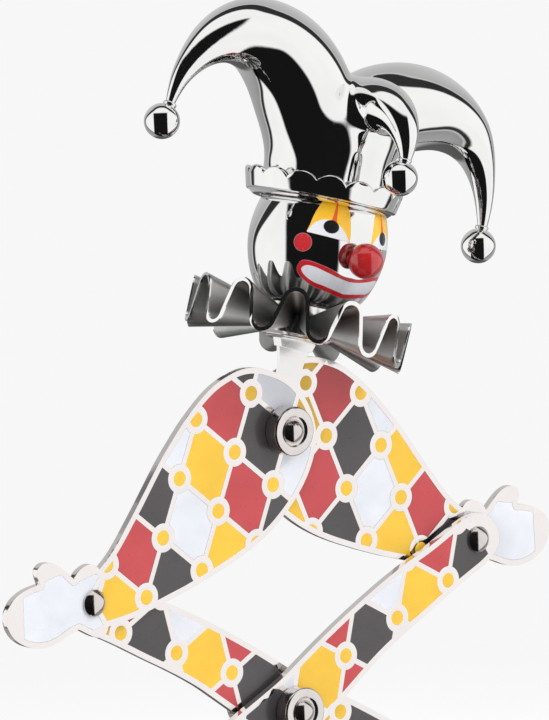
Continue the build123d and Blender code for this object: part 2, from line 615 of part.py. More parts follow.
def make_ruff():
    lift, cone = crest_angles()
    flank_up = Vector(-math.sin(HALF_PLEAT) * math.sin(STEEP),
                      math.cos(HALF_PLEAT) * math.sin(STEEP), math.cos(STEEP))
    along = Vector(math.cos(lift), 0, math.sin(lift))
    above = Vector(-math.sin(lift), 0, math.cos(lift))
    turn = math.acos((flank_up + along * math.sin(cone)).normalized().dot(above))
    off_axis = above * math.cos(turn) + Vector(0, 1, 0) * math.sin(turn)
    edge_line = along * math.cos(cone) + off_axis * math.sin(cone)   # crest meets flank
    mid_line = Vector(math.cos(HALF_PLEAT), math.sin(HALF_PLEAT), 0)
    far_line = mid_line * (2 * edge_line.dot(mid_line)) - edge_line
    near, far = RUFF_IN_R - 1.0, RUFF_R + 2.6
    half = flank_up * (RUFF_T / 2)
    crest_face = Face(Wire.make_polygon([edge_line * near + half, edge_line * far + half,
                                         edge_line * far - half, edge_line * near - half],
                                        close=True))
    crest = Solid.revolve(crest_face, 2 * math.degrees(turn), Axis((0, 0, 0), tuple(along)))
    flank_face = Face(Wire.make_polygon([edge_line * near - half, edge_line * far - half,
                                         far_line * far - half, far_line * near - half],
                                        close=True))
    flank = Solid.extrude(flank_face, half * 2)
    trough = crest.rotate(Axis((0, 0, 0), tuple(mid_line)), 180)
    pleat = [crest, flank, trough, flank.mirror(Plane.XZ)]
    sheet = [s.rotate(Axis.Z, RUFF_TURN + 360 / PLEATS * k) for k in range(PLEATS) for s in pleat]
    sheet = sheet[0].fuse(*sheet[1:])
    ring = cyl_z(RUFF_R, 40, -20) - cyl_z(RUFF_IN_R, 40, -20)
    return Pos(0, 0, RUFF_Z) * Rot(0, RUFF_TILT, 0) * largest(common(sheet, ring))


out_head(make_ruff(), "ruff")

# ---- head shell and nose
HEAD_CURVE = [(6.4, HEAD_BASE), (9.3, 25.9), (11.3, 28.3), (12.7, 31.6), (13.5, 35.0),
              (13.7, 38.0), (13.4, 41.0), (12.8, 43.6), (12.0, HEAD_TOP)]   # r, z
NOSE_R = 3.5
NOSE_Y, NOSE_Z = -17.0, 34.8
NOSE_STEM_R, NOSE_STEM_L = 1.5, 4.5

head = Pos(HEAD_SHIFT, 0, 0) * turned_spline(HEAD_CURVE, [(0, HEAD_TOP), (0, HEAD_BASE)])
out_head(head.solids()[0], "head_shell")

nose_stem = cyl_y(0, NOSE_Z, NOSE_STEM_R, NOSE_Y + 1, NOSE_Y + 1 + NOSE_STEM_L)
nose = Solid.make_sphere(NOSE_R, Plane((0, NOSE_Y, NOSE_Z))) + nose_stem
nose = nose - head
out_head(largest(nose.solids()), "nose")

# ---- scalloped hat band
BAND_R = 15.0
BAND_Z0, BAND_Z1 = 45.6, 50.0
CUSP_Z = 48.55              # where neighbouring scallops meet
HAT_Z0 = HEAD_TOP + 0.6
SCALLOPS = 16

band = turned_polygon([
    (12.06, 44.8), (14.2, 44.8), (14.5, 45.1), (14.5, BAND_Z0), (BAND_R, BAND_Z0),
    (BAND_R + 0.55, CUSP_Z), (BAND_R - 0.75, CUSP_Z), (BAND_R - 1.1, HAT_Z0), (12.6, HAT_Z0),
    (12.6, HEAD_TOP + 0.02), (12.06, HEAD_TOP + 0.02)])
scallop_wall = turned_polygon([(BAND_R - 0.75, CUSP_Z), (BAND_R + 0.55, CUSP_Z),
                               (BAND_R + 0.85, BAND_Z1), (BAND_R - 0.45, BAND_Z1)])
scallop_rise = BAND_Z1 - 0.05 - CUSP_Z
scallop_r = cap_radius((BAND_R + 0.5) * math.sin(math.pi / SCALLOPS), scallop_rise)
for k in range(SCALLOPS):
    middle, side_0, side_1 = (2 * math.pi * (k + share) / SCALLOPS for share in (0.5, 0, 1))
    outward = (math.cos(middle), math.sin(middle), 0)
    roller = Solid.make_cylinder(scallop_r, 8, Plane(
        (outward[0] * 11, outward[1] * 11, CUSP_Z + scallop_rise - scallop_r), z_dir=outward))
    wedge_points = [Vector(0, 0, CUSP_Z)] + [
        Vector(30 * math.cos(a), 30 * math.sin(a), CUSP_Z) for a in (side_0, side_1)]
    wedge = Solid.extrude(Face(Wire.make_polygon(wedge_points, close=True)), Vector(0, 0, 3))
    band = band + ((scallop_wall & roller) & wedge)
out_head(largest(cut(band, head)), "hat_band")

# ---- hat: crown and three curled horns, with a ball at each tip
CROWN_CURVE = [(12.5, HAT_Z0), (12.3, 49.5), (12.4, 53.0), (12.9, 57.0), (12.8, 61.0),
               (11.4, 64.6), (8.2, 67.6), (0.0, 69.4)]   # r, z
# horn stations from tip to root: x (y for the front horn), z, radius
LEFT_HORN = [(-41.5, 56.7, 0.85), (-40.5, 61.3, 1.65), (-37.8, 66.6, 2.9), (-34.1, 70.6, 4.3),
             (-29.9, 73.0, 5.65), (-25.6, 74.0, 6.9), (-21.4, 73.7, 7.9), (-17.3, 72.2, 8.85),
             (-13.2, 69.4, 9.8), (-9.4, 65.2, 10.4), (-6.0, 60.0, 10.3), (-3.4, 55.0, 9.4)]
RIGHT_HORN = [(42.3, 47.9, 0.9), (41.5, 53.0, 1.75), (39.6, 58.2, 2.7), (37.0, 62.2, 3.8),
              (33.5, 65.3, 5.1), (29.0, 67.3, 6.4), (24.0, 68.2, 7.6), (18.8, 68.0, 8.6),
              (13.6, 66.7, 9.3), (8.5, 64.0, 9.8), (4.2, 59.6, 9.8), (1.6, 54.8, 9.2)]
FRONT_HORN = [(-23.3, 54.9, 1.1), (-22.7, 58.0, 1.95), (-21.1, 61.2, 2.9), (-18.0, 64.0, 3.9),
              (-13.8, 65.4, 4.8), (-9.2, 65.3, 5.6), (-4.6, 63.6, 6.6), (-1.0, 60.5, 7.4)]
BALL_R = 3.5
BALL_CENTRES = [(-42.6, 0, 53.3), (42.1, 0, 44.5), (0, -22.6, 51.6)]


def horn(stations, sideways):
    """Loft of circles square to the path, which lies in the xz plane if sideways, else in yz."""
    sections = []
    for i, (reach, z, radius) in enumerate(stations):
        after = stations[min(i + 1, len(stations) - 1)]
        before = stations[max(i - 1, 0)]
        d_reach, dz = after[0] - before[0], after[1] - before[1]
        if sideways:
            plane = Plane((reach, 0, z), x_dir=(0, 1, 0), z_dir=(d_reach, 0, dz))
        else:
            plane = Plane((0, reach, z), x_dir=(1, 0, 0), z_dir=(0, d_reach, dz))
        sections.append(plane * Circle(radius))
    return loft(sections)


hat = turned_spline(CROWN_CURVE, [(0, HAT_Z0)])
for stations, sideways in ((LEFT_HORN, True), (RIGHT_HORN, True), (FRONT_HORN, False)):
    hat = hat + horn(stations, sideways)
hat = largest(hat.solids())
out_head(hat, "hat")

balls = [largest((Solid.make_sphere(BALL_R, Plane(centre)) - hat).solids())
         for centre in BALL_CENTRES]
out_head(group(balls), "hat_balls")
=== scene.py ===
# A jointed clown figure: nickel and enamel plates, a ruff, a chrome head with a painted face and
# a hat with three horns. The figure stands on Z and faces -Y; its head group leans towards +X.
# Left is -X and right is +X, as seen from the front.
import math

import bpy
import numpy as np
from mathutils import Matrix, Vector


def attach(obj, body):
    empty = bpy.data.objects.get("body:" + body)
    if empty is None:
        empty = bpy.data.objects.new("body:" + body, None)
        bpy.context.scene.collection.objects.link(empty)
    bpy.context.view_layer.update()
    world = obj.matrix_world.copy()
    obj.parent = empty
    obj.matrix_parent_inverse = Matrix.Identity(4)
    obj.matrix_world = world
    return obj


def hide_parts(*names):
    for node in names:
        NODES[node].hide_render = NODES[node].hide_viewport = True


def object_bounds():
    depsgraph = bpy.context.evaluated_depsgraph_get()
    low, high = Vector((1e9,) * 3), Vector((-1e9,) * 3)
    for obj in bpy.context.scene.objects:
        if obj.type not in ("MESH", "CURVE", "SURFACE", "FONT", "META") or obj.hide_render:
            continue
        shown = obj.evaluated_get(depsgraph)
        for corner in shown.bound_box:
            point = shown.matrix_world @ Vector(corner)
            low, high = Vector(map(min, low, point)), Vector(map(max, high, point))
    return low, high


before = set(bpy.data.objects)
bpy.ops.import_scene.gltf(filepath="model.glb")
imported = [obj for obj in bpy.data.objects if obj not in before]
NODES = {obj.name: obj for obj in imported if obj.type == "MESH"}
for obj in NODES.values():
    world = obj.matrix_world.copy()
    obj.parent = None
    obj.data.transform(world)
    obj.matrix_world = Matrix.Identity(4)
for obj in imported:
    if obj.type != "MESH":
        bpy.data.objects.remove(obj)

cad_lo, cad_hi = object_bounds()
scene = bpy.context.scene

MM = 0.001                         # metres in a millimetre

# ---------------------------------------------------------------- driving values
# Millimetres. "Head coordinates" are those of the upright head, measured from the top pivot.
TOP_PIVOT = (0.0, -8.975, 151.46)
LEAN = math.radians(16.5)
HEAD_SHIFT = 1.15                  # the head sits this far to +X of the neck's axis

# radius, height
HEAD_PROFILE = [
    (6.4, 24.6), (9.3, 25.9), (11.3, 28.3), (12.7, 31.6), (13.5, 35.0), (13.7, 38.0),
    (13.4, 41.0), (12.8, 43.6), (12.0, 46.0)]
HEAD_FOOT_RADII = (3.0, 5.9)       # rings that close the profile below and above
HEAD_CAP_RADII = (11.6, 6.0)

BALL_RADIUS = 3.5
BALL_NECK_RADIUS = 1.15            # where the ball meets its bead
# centre, and a point the bead side faces
BALLS = [((-42.6, 0.0, 53.3), (-41.2, 0.0, 57.6)),
         ((42.1, 0.0, 44.5), (42.1, 0.0, 49.0)),
         ((0.0, -22.6, 51.6), (0.0, -23.2, 56.0))]
# radius, height above the ball's neck
BEAD_PROFILE = [(1.2, 0.05), (1.32, 0.2), (1.38, 0.4), (1.33, 0.6), (1.18, 0.75), (0.9, 0.8),
                (0.0, 0.8)]

NOSE_CENTRE, NOSE_RADIUS = (0.0, -17.0, 34.8), 3.5
NOSE_NECK_ANGLE = 0.42             # radians from the nose's rear pole to its stem
# radius, height above the neck (all behind it)
NOSE_STEM = [(0.0, -1.9), (1.3, -1.9), (1.42, -1.75), (1.42, -0.05)]

HAT_FOOT = 46.6
# sideways place, height, tube radius; from tip to crown
LEFT_HORN = [
    (-41.5, 56.7, 0.85), (-40.5, 61.3, 1.65), (-37.8, 66.6, 2.9), (-34.1, 70.6, 4.3),
    (-29.9, 73.0, 5.65), (-25.6, 74.0, 6.9), (-21.4, 73.7, 7.9), (-17.3, 72.2, 8.85),
    (-13.2, 69.4, 9.6), (-9.4, 65.2, 10.0), (-6.0, 60.0, 9.8), (-3.4, 55.0, 9.0)]
RIGHT_HORN = [
    (42.3, 47.9, 0.9), (41.5, 53.0, 1.75), (39.6, 58.2, 2.7), (37.0, 62.2, 3.8),
    (33.5, 65.3, 5.1), (29.0, 67.3, 6.4), (24.0, 68.2, 7.6), (18.8, 68.0, 8.6),
    (13.6, 66.7, 9.2), (8.5, 64.0, 9.6), (4.2, 59.6, 9.5), (1.6, 54.8, 8.9)]
FRONT_HORN = [
    (-23.3, 54.9, 1.0), (-22.7, 58.0, 1.9), (-21.1, 61.2, 2.9), (-18.0, 64.0, 3.9),
    (-13.8, 65.4, 4.8), (-9.2, 65.3, 5.6), (-4.6, 63.6, 6.5), (-1.0, 60.5, 7.2)]
# height, radius
CROWN = [(46.0, 12.45), (49.5, 12.3), (53.0, 12.35), (57.0, 12.7), (61.0, 12.5)]
CROWN_TOP, DOME_RADIUS = CROWN[-1]
DOME_HEIGHT = 8.4
SIDE_BLEND, FRONT_BLEND = 3.4, 3.0  # how softly the horns run into the crown
HAT_STEP = 0.55                    # grid step of the hat's surface

SCALLOPS, SCALLOP_STEPS = 16, 26
CUSP_HEIGHT, SCALLOP_HEIGHT = 48.55, 49.95
SCALLOP_CIRCLE = 15.5              # radius on which a scallop's chord is taken
BAND_RADIUS = 15.0


# ---------------------------------------------------------------- shared geometry
def head_to_world(points):
    """Head coordinates in millimetres to the frame at rest in metres."""
    points = np.asarray(points, float)
    x, y, z = points[..., 0], points[..., 1], points[..., 2]
    along = x * math.cos(LEAN) + z * math.sin(LEAN)
    height = -x * math.sin(LEAN) + z * math.cos(LEAN)
    return np.stack([(along + TOP_PIVOT[0]) * MM, (y + TOP_PIVOT[1]) * MM,
                     (height + TOP_PIVOT[2]) * MM], -1)


def spline(points, samples):
    """Natural cubic through points, parameterised by chord length in the first two columns."""
    points = np.asarray(points, float)
    chords = np.linalg.norm(np.diff(points[:, :2], axis=0), axis=1)
    knots = np.r_[0, np.cumsum(chords)]
    count = len(knots)
    gap = np.diff(knots)
    matrix = np.zeros((count, count))
    target = np.zeros((count, points.shape[1]))
    matrix[0, 0] = matrix[-1, -1] = 1
    for i in range(1, count - 1):
        matrix[i, i - 1:i + 2] = gap[i - 1], 2 * (gap[i - 1] + gap[i]), gap[i]
        target[i] = 6 * ((points[i + 1] - points[i]) / gap[i]
                         - (points[i] - points[i - 1]) / gap[i - 1])
    bend = np.linalg.solve(matrix, target)
    at = np.linspace(0, knots[-1], samples)
    k = np.clip(np.searchsorted(knots, at, side="right") - 1, 0, count - 2)
    after, before, width = (at - knots[k])[:, None], (knots[k + 1] - at)[:, None], gap[k][:, None]
    return ((bend[k] * before**3 + bend[k + 1] * after**3) / (6 * width)
            + (points[k] / width - bend[k] * width / 6) * before
            + (points[k + 1] / width - bend[k + 1] * width / 6) * after)


def head_piece(name, points, faces, replaced, normals=None):
    """Smooth mesh from head coordinates that rides the head and replaces a CAD piece."""
    world_points = head_to_world(points)
    mesh = bpy.data.meshes.new(name)
    mesh.from_pydata([tuple(p) for p in world_points], [], [tuple(f) for f in faces])
    mesh.validate()
    mesh.polygons.foreach_set("use_smooth", [True] * len(mesh.polygons))
    if normals is not None:
        turned = head_to_world(points + normals) - world_points
        turned /= np.linalg.norm(turned, axis=1)[:, None]
        mesh.normals_split_custom_set_from_vertices([tuple(n) for n in turned])
    mesh.update()
    piece = bpy.data.objects.new(name, mesh)
    scene.collection.objects.link(piece)
    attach(piece, "head")
    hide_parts(replaced)
    return piece


def frame_along(axis):
    """Three unit vectors, the last one along axis."""
    w = np.asarray(axis, float)
    w = w / np.linalg.norm(w)
    u = np.cross(w, (0.0, 1.0, 0.0) if abs(w[1]) < 0.9 else (1.0, 0.0, 0.0))
    u = u / np.linalg.norm(u)
    return u, np.cross(w, u), w


def revolve(profile, centre, axis, segments):
    """Closed solid of revolution from (radius, height) points that start and end on the axis."""
    u, v, w = frame_along(axis)
    verts, faces, rings = [], [], []
    for radius, height in profile:
        base = np.asarray(centre) + w * height
        if radius < 1e-9:
            rings.append([len(verts)])
            verts.append(base)
        else:
            rings.append(list(range(len(verts), len(verts) + segments)))
            for i in range(segments):
                angle = 2 * math.pi * i / segments
                verts.append(base + (u * math.cos(angle) + v * math.sin(angle)) * radius)
    for a, b in zip(rings, rings[1:]):
        for i in range(segments):
            j = (i + 1) % segments
            if len(a) == 1 and len(b) > 1:
                faces.append((a[0], b[j], b[i]))
            elif len(b) == 1 and len(a) > 1:
                faces.append((a[i], a[j], b[0]))
            elif len(a) > 1:
                faces.append((a[i], a[j], b[j], b[i]))
    return np.array(verts), faces


def joined(parts):
    verts, faces, offset = [], [], 0
    for part_verts, part_faces in parts:
        verts.append(part_verts)
        faces += [tuple(i + offset for i in face) for face in part_faces]
        offset += len(part_verts)
    return np.vstack(verts), faces


# ---------------------------------------------------------------- hat: one smooth field
def horn_path(stations, side_axis):
    """Centres and radii along a horn that lies in the plane of side_axis and Z."""
    path = spline(stations, 120)
    centres = np.zeros((len(path), 3))
    centres[:, [side_axis, 2]] = path[:, :2]
    return centres, path[:, 2]


def horn_field(points, centres, radii, batch=20000):
    """Distance to a horn, with a parabola between its nearest samples."""
    out = np.empty(len(points))
    for k in range(0, len(points), batch):
        some = points[k:k + batch]
        gap = np.linalg.norm(some[:, None, :] - centres[None], axis=2) - radii[None]
        i = np.clip(gap.argmin(1), 1, len(radii) - 2)
        row = np.arange(len(some))
        y0, y1, y2 = gap[row, i - 1], gap[row, i], gap[row, i + 1]
        bend = y0 - 2 * y1 + y2
        t = np.where(bend > 1e-9, 0.5 * (y0 - y2) / np.maximum(bend, 1e-9), 0.0)
        out[k:k + batch] = y1 - 0.25 * (y0 - y2) * np.clip(t, -1, 1)
    return out


def smooth_min(a, b, blend):
    near = np.maximum(blend - np.abs(a - b), 0) / blend
    return np.minimum(a, b) - near**3 * blend / 6


crown_line = spline(CROWN, 200)
horns = [(horn_path(LEFT_HORN, 0), SIDE_BLEND), (horn_path(RIGHT_HORN, 0), SIDE_BLEND),
         (horn_path(FRONT_HORN, 1), FRONT_BLEND)]


def crown_field(points):
    radius, z = np.hypot(points[:, 0], points[:, 1]), points[:, 2]
    wall = radius - np.interp(z, crown_line[:, 0], crown_line[:, 1])
    dome = (np.sqrt((radius / DOME_RADIUS) ** 2 + ((z - CROWN_TOP) / DOME_HEIGHT) ** 2)
            - 1) * DOME_RADIUS
    return np.where(z < CROWN_TOP, wall, dome)


def hat_field(points):
    field = crown_field(points)
    for (centres, radii), blend in horns:
        field = smooth_min(field, horn_field(points, centres, radii), blend)
    return field


def hat_gradient(points, reach):
    out = np.empty_like(points)
    for i in range(3):
        step = np.zeros(3)
        step[i] = reach
        out[:, i] = (hat_field(points + step) - hat_field(points - step)) / (2 * reach)
    return out


def surface_nets(values, origin, step):
    """Quads round the zero level of grid values."""
    inside = values < 0
    corners = [(i, j, k) for i in (0, 1) for j in (0, 1) for k in (0, 1)]
    nx, ny, nz = values.shape
    count = sum(inside[i:nx - 1 + i, j:ny - 1 + j, k:nz - 1 + k].astype(np.int8)
                for i, j, k in corners)
    active = (count > 0) & (count < 8)
    cells = np.argwhere(active)
    index = -np.ones(active.shape, np.int64)
    index[active] = np.arange(len(cells))

    # each vertex is the mean of the crossings on its cell's edges
    place, crossings = np.zeros((len(cells), 3)), np.zeros(len(cells))
    for start in corners:
        for axis in range(3):
            if start[axis]:
                continue
            end = list(start)
            end[axis] = 1
            cell_a, cell_b = cells + start, cells + end
            value_a, value_b = values[tuple(cell_a.T)], values[tuple(cell_b.T)]
            cut = (value_a < 0) != (value_b < 0)
            t = value_a[cut] / (value_a[cut] - value_b[cut])
            place[cut] += cell_a[cut] + t[:, None] * (cell_b[cut] - cell_a[cut])
            crossings[cut] += 1
    place /= crossings[:, None]

    # each crossed grid edge gives a quad between the four cells round it
    quads = []
    for axis in range(3):
        u, w = [(1, 2), (2, 0), (0, 1)][axis]
        low, high = [slice(None)] * 3, [slice(None)] * 3
        low[axis], high[axis] = slice(0, values.shape[axis] - 1), slice(1, values.shape[axis])
        a, b = inside[tuple(low)], inside[tuple(high)]
        step_u, step_w = np.zeros(3, int), np.zeros(3, int)
        step_u[u], step_w[w] = 1, 1
        for leaving in (True, False):
            edge = np.argwhere((a & ~b) if leaving else (~a & b))
            edge = edge[(edge[:, u] > 0) & (edge[:, w] > 0)
                        & (edge[:, u] < values.shape[u] - 1) & (edge[:, w] < values.shape[w] - 1)]
            around = (edge - step_u - step_w, edge - step_w, edge, edge - step_u)
            quad = [index[tuple(cell.T)] for cell in around]
            quads.append(np.stack(quad if leaving else quad[::-1], 1))
    return origin + place * step, np.vstack(quads)


def build_hat():
    low = np.array([-45.0, -26.0, HAT_FOOT - 0.3 - HAT_STEP])
    high = np.array([46.0, 14.5, 84.0])
    axes = [np.arange(low[i], high[i] + HAT_STEP, HAT_STEP) for i in range(3)]

    # a coarse grid finds the surface, and the fine grid is worked out only near it
    skip = 4
    coarse_grid = np.meshgrid(*[axis[::skip] for axis in axes], indexing="ij")
    coarse = hat_field(np.stack(coarse_grid, -1).reshape(-1, 3)).reshape(coarse_grid[0].shape)
    spread = np.ix_(*[np.minimum(np.arange(len(axis)) // skip, coarse.shape[i] - 1)
                      for i, axis in enumerate(axes)])
    values = coarse[spread]
    near = np.argwhere((np.abs(coarse) < skip * HAT_STEP * 1.8)[spread])
    values[tuple(near.T)] = hat_field(np.stack([axes[i][near[:, i]] for i in range(3)], 1))
    values = np.maximum(values, (HAT_FOOT - axes[2])[None, None, :])
    verts, quads = surface_nets(values, low, HAT_STEP)

    # pull the vertices above the foot onto the true surface
    free = verts[:, 2] > HAT_FOOT + 0.8
    for _ in range(4):
        points = verts[free]
        field, slope = hat_field(points), hat_gradient(points, reach=0.03)
        steepness = np.maximum((slope * slope).sum(1), 0.2)
        verts[free] = points - slope * (np.clip(field, -0.5, 0.5) / steepness)[:, None]

    normals = hat_gradient(verts, reach=0.06)
    normals[verts[:, 2] < HAT_FOOT + 0.35] = (0, 0, -1)
    normals /= np.maximum(np.linalg.norm(normals, axis=1), 1e-9)[:, None]
    return head_piece("hat_shell", verts, quads, "hat", normals)


# ---------------------------------------------------------------- head, balls, band and nose
def build_head():
    side = spline(HEAD_PROFILE, 150)
    foot, cap = side[0, 1], side[-1, 1]
    profile = [(radius, foot) for radius in (0.0, *HEAD_FOOT_RADII)]
    profile += [tuple(point) for point in side]
    profile += [(radius, cap) for radius in (*HEAD_CAP_RADII, 0.0)]
    verts, faces = revolve(profile, (HEAD_SHIFT, 0, 0), (0, 0, 1), segments=256)
    return head_piece("head_casting", verts, faces, "head_shell")


def build_balls():
    neck_angle = math.asin(BALL_NECK_RADIUS / BALL_RADIUS)
    neck = BALL_RADIUS * math.cos(neck_angle)
    profile = [(BALL_RADIUS * math.sin(t), -BALL_RADIUS * math.cos(t))
               for t in np.linspace(0, math.pi - neck_angle, 60)]
    profile += [(radius, neck + height) for radius, height in BEAD_PROFILE]
    verts, faces = joined([revolve(profile, centre, np.array(tip) - np.array(centre), segments=72)
                           for centre, tip in BALLS])
    return head_piece("horn_balls", verts, faces, "hat_balls")


def band_section(top):
    """Closed (radius, height) section of the band for a given top height."""
    edge, foot_edge = 0.42, 0.3                        # rounding of the rim and of the foot
    outer = BAND_RADIUS + 0.19 * (top - 45.6)          # the wall flares upwards
    inner = outer - 1.3
    rim = top - edge
    groove, groove_z = 13.85, 46.9
    foot, foot_z = 15.06, 46.1
    points = [(12.06, 46.0), (12.6, 46.0), (12.6, 46.6), (13.6, 46.6), (groove, groove_z)]
    points += [(groove + (inner - groove) * k, groove_z + (rim - groove_z) * k)
               for k in (0.5, 1.0)]
    points += [(inner + edge - edge * math.cos(t), rim + edge * math.sin(t))
               for t in np.linspace(0.3, math.pi / 2, 5)]
    points += [(outer - edge + edge * math.sin(t), rim + edge * math.cos(t))
               for t in np.linspace(0, math.pi / 2, 6)]
    points += [(outer + (foot - outer) * k, rim + (foot_z - rim) * k)
               for k in (0.25, 0.5, 0.75, 1.0)]
    points += [(BAND_RADIUS - foot_edge + foot_edge * math.cos(t), 45.9 - foot_edge * math.sin(t))
               for t in np.linspace(0.2, math.pi / 2, 5)]
    points += [(14.45, 45.58), (14.25, 45.40), (13.6, 44.8), (12.06, 44.8)]
    return points


def build_band():
    """A rounded section swept round, its top edge rising and falling in circular arcs."""
    chord = SCALLOP_CIRCLE * math.sin(math.pi / SCALLOPS)
    sag = SCALLOP_HEIGHT - CUSP_HEIGHT
    arc_radius = (chord * chord + sag * sag) / (2 * sag)
    verts, faces, count = [], [], SCALLOPS * SCALLOP_STEPS
    for i in range(count):
        offset = (i % SCALLOP_STEPS / SCALLOP_STEPS - 0.5) * 2 * math.pi / SCALLOPS
        x = SCALLOP_CIRCLE * math.sin(offset)
        top = CUSP_HEIGHT + sag - arc_radius + math.sqrt(arc_radius * arc_radius - x * x)
        angle = 2 * math.pi * i / count
        verts += [(radius * math.cos(angle), radius * math.sin(angle), z)
                  for radius, z in band_section(top)]
    size = len(verts) // count
    for i in range(count):
        j = (i + 1) % count
        for k in range(size):
            n = (k + 1) % size
            faces.append((i * size + k, i * size + n, j * size + n, j * size + k))
    return head_piece("scalloped_band", verts, faces, "hat_band")


def build_nose():
    bead = [(NOSE_RADIUS * math.sin(t), NOSE_RADIUS * math.cos(t))
            for t in np.linspace(0, math.pi - NOSE_NECK_ANGLE, 64)][::-1]
    neck = bead[0][1]
    stem = [(radius, neck + height) for radius, height in NOSE_STEM]
    verts, faces = revolve(stem + bead, NOSE_CENTRE, (0, -1, 0), segments=96)
    return head_piece("nose_bead", verts, faces, "nose")


hat = build_hat()
head = build_head()
balls = build_balls()
band = build_band()
nose = build_nose()


# ---------------------------------------------------------------- shader helpers
class Scalar:
    """A float socket with arithmetic."""
    tree = None                    # the node tree being built

    def __init__(self, socket):
        self.socket = socket

    def math(self, operation, *others):
        return Scalar(node("Math", dict(enumerate((self, *others))),
                           operation=operation).outputs[0])

    def map_range(self, low, high, kind):
        inputs = {"Value": self, "From Min": low, "From Max": high}
        return Scalar(node("MapRange", inputs, interpolation_type=kind).outputs["Result"])

    def __rsub__(self, number):
        constant = node("Value").outputs[0]
        constant.default_value = number
        return Scalar(constant) - self

    def __add__(self, other): return self.math("ADD", other)
    def __sub__(self, other): return self.math("SUBTRACT", other)
    def __mul__(self, other): return self.math("MULTIPLY", other)
    def __truediv__(self, other): return self.math("DIVIDE", other)
    def abs(self): return self.math("ABSOLUTE")
    def sqrt(self): return self.math("SQRT")
    def max(self, other): return self.math("MAXIMUM", other)
    def atan2(self, other): return self.math("ARCTAN2", other)

    def ramp(self, low, high):
        """0 at low to 1 at high, straight."""
        return self.map_range(low, high, "LINEAR")

    def smooth(self, low, high):
        """0 at low to 1 at high, eased at both ends."""
        return self.map_range(low, high, "SMOOTHSTEP")


def feed(socket, value):
    """Link or set an input from a Scalar, a socket, a tuple or a number."""
    if isinstance(value, Scalar):
        value = value.socket
    if isinstance(value, bpy.types.NodeSocket):
        Scalar.tree.links.new(value, socket)
    elif isinstance(value, tuple):
        socket.default_value = (*value, 1.0) if socket.type == "RGBA" else value
    else:
        socket.default_value = float(value)


def put(shader, inputs):
    for key, value in inputs.items():
        feed(shader.inputs[key], value)


def node(kind, inputs=None, **settings):
    new = Scalar.tree.nodes.new("ShaderNode" + kind)
    for key, value in settings.items():
        setattr(new, key, value)
    put(new, inputs or {})
    return new


def open_tree(owner):
    """Empty the owner's node tree and build in it from here on."""
    owner.use_nodes = True
    Scalar.tree = owner.node_tree
    Scalar.tree.nodes.clear()


def start(name):
    """New material, its shader, and the place on the piece in millimetres."""
    material = bpy.data.materials.new(name)
    open_tree(material)
    shader = node("BsdfPrincipled")
    node("OutputMaterial", {"Surface": shader.outputs[0]})
    metres = node("TexCoord").outputs["Object"]
    pos = node("VectorMath", {0: metres, "Scale": 1000.0}, operation="SCALE").outputs[0]
    return material, shader, pos


def separate(vector):
    return [Scalar(out) for out in node("SeparateXYZ", {0: vector}).outputs]


def noise(vector, scale, detail=3.0, roughness=0.5, distortion=0.0):
    inputs = {"Vector": vector, "Scale": scale, "Detail": detail, "Roughness": roughness,
              "Distortion": distortion}
    return Scalar(node("TexNoise", inputs).outputs["Fac"])


def stretched(vector, scale, turn=0.0):
    """Coordinates scaled by axis and turned about Y by degrees."""
    inputs = {"Scale": scale, "Rotation": (0.0, math.radians(turn), 0.0), "Vector": vector}
    return node("Mapping", inputs).outputs[0]


def mix_colour(factor, a, b):
    mix = node("Mix", data_type="RGBA")
    for socket, value in zip([s for s in mix.inputs if s.enabled], (factor, a, b)):
        feed(socket, value)
    return [s for s in mix.outputs if s.enabled][0]


def scaled(colour, factor):
    return tuple(channel * factor for channel in colour)


def curve(x, points, span):
    """Smooth curve through points at x; span is (x low, x high, y low, y high)."""
    x0, x1, y0, y1 = span
    curve_node = node("FloatCurve")
    mapping = curve_node.mapping
    line = mapping.curves[0]
    while len(line.points) < len(points):
        line.points.new(0.5, 0.5)
    for point, (px, py) in zip(line.points, points):
        point.location = ((px - x0) / (x1 - x0), (py - y0) / (y1 - y0))
    mapping.use_clip = False
    mapping.extend = "HORIZONTAL"
    mapping.update()
    feed(curve_node.inputs["Value"], (x - x0) / (x1 - x0))
    return Scalar(curve_node.outputs[0]) * (y1 - y0) + y0


def bump(height, strength, depth):
    """Bumped normal; depth in millimetres."""
    return node("Bump", {"Strength": strength, "Distance": depth * MM,
                         "Height": height}).outputs[0]


def head_coordinates(pos):
    x, y, z = separate(pos)
    x, y, z = x - TOP_PIVOT[0], y - TOP_PIVOT[1], z - TOP_PIVOT[2]
    return (x * math.cos(LEAN) - z * math.sin(LEAN), y,
            x * math.sin(LEAN) + z * math.cos(LEAN))


# ---------------------------------------------------------------- materials
# Factors on the noises are how much each one adds. Noise scales are per millimetre.
def nickel(name, base, rough, turn):
    """Plate with hairlines along one direction, turned by degrees."""
    material, shader, pos = start(name)
    clouds = noise(pos, scale=0.09, roughness=0.55, distortion=0.3)
    mottle = noise(pos, scale=0.9, detail=4.0, roughness=0.6)
    hairlines = noise(stretched(pos, scale=(0.22, 0.4, 5.0), turn=turn), scale=2.2, roughness=0.62)
    colour = mix_colour(clouds.ramp(0.35, 0.7), scaled(base, 0.965), base)
    colour = mix_colour(mottle.ramp(0.52, 0.9) * 0.18, colour, scaled(base, 0.82))
    put(shader, {
        "Base Color": colour, "Metallic": 1.0,
        "Roughness": mottle * (0.5 * rough) + hairlines * (0.6 * rough) + 0.45 * rough,
        "Normal": bump(hairlines * 0.5 + mottle * 0.35, strength=0.25, depth=0.006)})
    return material


